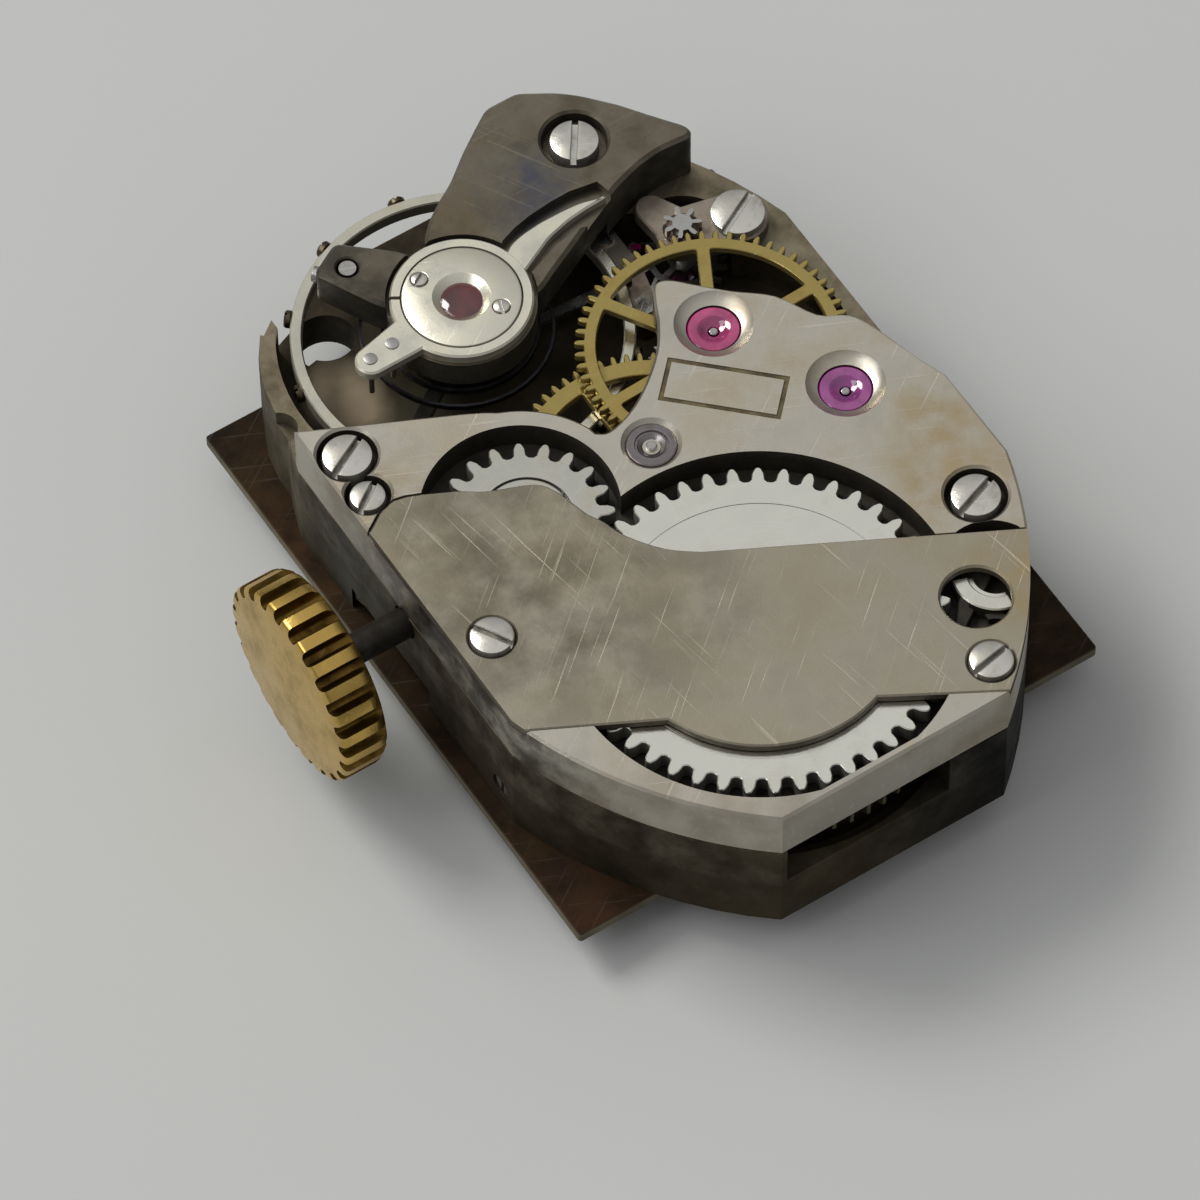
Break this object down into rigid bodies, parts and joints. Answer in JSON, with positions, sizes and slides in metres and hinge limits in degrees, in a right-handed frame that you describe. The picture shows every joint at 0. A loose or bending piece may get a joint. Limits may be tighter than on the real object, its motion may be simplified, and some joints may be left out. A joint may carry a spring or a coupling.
{
  "type": "watch movement",
  "caption": "Small shaped hand-wound lever watch movement with crown, stem, three-quarter train bridge, balance cock and rectangular dial blank.",
  "frame": {"origin": "on the centre wheel's axis at the dial's outer face, where the hour hand's seat leaves the dial", "axes": "+Z from the dial to the bridges, along the arbors; +Y along the movement's length towards the balance; +X away from the crown"},
  "size_m": [0.0132, 0.0156, 0.0047],
  "materials": {
    "brass": "gilt brass",
    "bridge_nickel": "nickel plate, satin, tan patina",
    "bright_steel": "polished steel, cream tint",
    "cock_grey": "oxidised nickel",
    "cover_nickel": "nickel plate, satin, yellowed",
    "crown_gold": "worn rolled gold",
    "dial_brown": "aged bare dial back, brown oxide",
    "garnet": "polished dark garnet",
    "plate_nickel": "darkened nickel plate over brass",
    "ruby": "polished synthetic ruby",
    "spring_steel": "tempered spring steel",
    "steel": "polished steel"
  },
  "bodies": {
    "root": {"dial": "dial_brown", "main_plate": "plate_nickel", "train_bridge": "bridge_nickel", "cover_plate": "cover_nickel", "balance_cock": "cock_grey", "escape_cock": "bridge_nickel", "pallet_bridge": "bridge_nickel", "bridge_screws": "steel", "cover_screws": "steel", "cock_screw": "steel", "escape_cock_screw": "steel", "pallet_bridge_screws": "steel", "end_piece": "bright_steel", "end_piece_screws": "steel", "balance_jewels": "garnet", "upper_jewels": "ruby", "lower_jewels": "ruby", "centre_bush": "steel", "hairspring_stud": "steel", "stud_screw": "steel", "setting_lever_screw": "steel", "setting_lever_spring": "steel", "yoke_spring": "steel", "click_spring": "bright_steel", "click_screw": "steel", "dial_screws": "steel", "crown_wheel_core": "steel", "hairspring": "spring_steel"},
    "regulator": {"regulator": "bright_steel"},
    "winding_pinion": {"winding_pinion": "steel"},
    "stem": {"winding_stem": "steel", "crown": "crown_gold"},
    "sliding_pinion": {"sliding_pinion": "steel"},
    "crown_wheel": {"crown_wheel": "steel"},
    "ratchet_wheel": {"ratchet_wheel": "steel", "barrel_arbor": "steel"},
    "barrel": {"barrel": "brass", "barrel_lid": "brass", "mainspring": "spring_steel"},
    "setting_lever": {"setting_lever": "steel"},
    "yoke": {"yoke": "steel"},
    "click": {"click": "steel"},
    "centre_wheel": {"centre_wheel": "brass"},
    "cannon_pinion": {"cannon_pinion": "steel"},
    "minute_wheel": {"minute_wheel": "brass"},
    "setting_wheel": {"setting_wheel": "steel"},
    "hour_wheel": {"hour_wheel": "brass"},
    "third_wheel": {"third_wheel": "brass"},
    "fourth_wheel": {"fourth_wheel": "brass"},
    "escape_wheel": {"escape_wheel": "steel"},
    "pallets": {"pallet_fork": "steel", "pallet_stones": "ruby"},
    "balance": {"balance_wheel": "bright_steel", "timing_screws": "brass", "balance_staff": "steel", "impulse_jewel": "ruby", "hairspring_collet": "brass"}
  },
  "joints": [
    {"name": "crown_turn", "type": "hinge", "parent": "root", "child": "winding_pinion", "pos_m": [-0.0041, 0, 0.00225], "axis": [1, 0, 0], "continuous": true},
    {"name": "crown_pull", "type": "slide", "parent": "winding_pinion", "child": "stem", "axis": [-1, 0, 0], "range_m": [0, 0.0004]},
    {"name": "clutch_slide", "type": "slide", "parent": "winding_pinion", "child": "sliding_pinion", "axis": [1, 0, 0], "range_m": [0, 0.0003]},
    {"name": "crown_wheel_turn", "type": "hinge", "parent": "root", "child": "crown_wheel", "pos_m": [-0.00262, 0, 0.002], "axis": [0, 0, 1], "continuous": true},
    {"name": "ratchet_turn", "type": "hinge", "parent": "root", "child": "ratchet_wheel", "pos_m": [-0.00046, -0.0042, 0.002], "axis": [0, 0, 1], "continuous": true},
    {"name": "click_swing", "type": "hinge", "parent": "root", "child": "click", "pos_m": [0.00355, -0.0051, 0.002], "axis": [0, 0, 1], "range_deg": [0, 8], "stiffness_Nm_per_rad": 0.000002},
    {"name": "setting_lever_swing", "type": "hinge", "parent": "root", "child": "setting_lever", "pos_m": [-0.00478, 0.00183, 0.002], "axis": [0, 0, 1], "range_deg": [-13, 0]},
    {"name": "yoke_swing", "type": "hinge", "parent": "root", "child": "yoke", "pos_m": [-0.0032, 0.002, 0.002], "axis": [0, 0, 1], "range_deg": [0, 10]},
    {"name": "regulator_turn", "type": "hinge", "parent": "root", "child": "regulator", "pos_m": [-0.00113, 0.0045, 0.002], "axis": [0, 0, 1], "range_deg": [-6, 6]},
    {"name": "centre_turn", "type": "hinge", "parent": "root", "child": "centre_wheel", "pos_m": [0, 0, 0.002], "axis": [0, 0, 1], "continuous": true},
    {"name": "barrel_turn", "type": "hinge", "parent": "root", "child": "barrel", "pos_m": [-0.00046, -0.0042, 0.002], "axis": [0, 0, 1], "continuous": true},
    {"name": "cannon_turn", "type": "hinge", "parent": "root", "child": "cannon_pinion", "pos_m": [0, 0, 0.002], "axis": [0, 0, 1], "continuous": true},
    {"name": "minute_turn", "type": "hinge", "parent": "root", "child": "minute_wheel", "pos_m": [-0.00135, -0.00119, 0.002], "axis": [0, 0, 1], "continuous": true},
    {"name": "setting_turn", "type": "hinge", "parent": "root", "child": "setting_wheel", "pos_m": [-0.00315, -0.00037, 0.002], "axis": [0, 0, 1], "continuous": true},
    {"name": "hour_turn", "type": "hinge", "parent": "root", "child": "hour_wheel", "pos_m": [0, 0, 0.002], "axis": [0, 0, 1], "continuous": true},
    {"name": "third_turn", "type": "hinge", "parent": "root", "child": "third_wheel", "pos_m": [0.00359, -0.00081, 0.002], "axis": [0, 0, 1], "continuous": true},
    {"name": "fourth_turn", "type": "hinge", "parent": "root", "child": "fourth_wheel", "pos_m": [0.00233, 0.00155, 0.002], "axis": [0, 0, 1], "continuous": true},
    {"name": "escape_turn", "type": "hinge", "parent": "root", "child": "escape_wheel", "pos_m": [0.00331, 0.00408, 0.002], "axis": [0, 0, 1], "continuous": true},
    {"name": "pallet_swing", "type": "hinge", "parent": "root", "child": "pallets", "pos_m": [0.00215, 0.00421, 0.002], "axis": [0, 0, 1], "range_deg": [-5, 5]},
    {"name": "balance_swing", "type": "hinge", "parent": "root", "child": "balance", "pos_m": [-0.00113, 0.0045, 0.002], "axis": [0, 0, 1], "range_deg": [-270, 270], "stiffness_Nm_per_rad": 0.00000012}
  ],
  "couplings": [
    {"joint": "crown_wheel_turn", "follows": "crown_turn", "ratio": 0.65},
    {"joint": "ratchet_turn", "follows": "crown_turn", "ratio": -0.28889},
    {"joint": "clutch_slide", "follows": "crown_pull", "ratio": 0.75},
    {"joint": "setting_lever_swing", "follows": "crown_pull", "rad_per_m": -540},
    {"joint": "yoke_swing", "follows": "crown_pull", "rad_per_m": 400},
    {"joint": "barrel_turn", "follows": "centre_turn", "ratio": -0.25},
    {"joint": "third_turn", "follows": "centre_turn", "ratio": -2.1333},
    {"joint": "fourth_turn", "follows": "centre_turn", "ratio": 2.7022},
    {"joint": "escape_turn", "follows": "centre_turn", "ratio": -23.162},
    {"joint": "cannon_turn", "follows": "centre_turn", "ratio": 1},
    {"joint": "minute_turn", "follows": "centre_turn", "ratio": -0.33333},
    {"joint": "setting_turn", "follows": "centre_turn", "ratio": 0.71429},
    {"joint": "hour_turn", "follows": "centre_turn", "ratio": 0.083333}
  ]
}
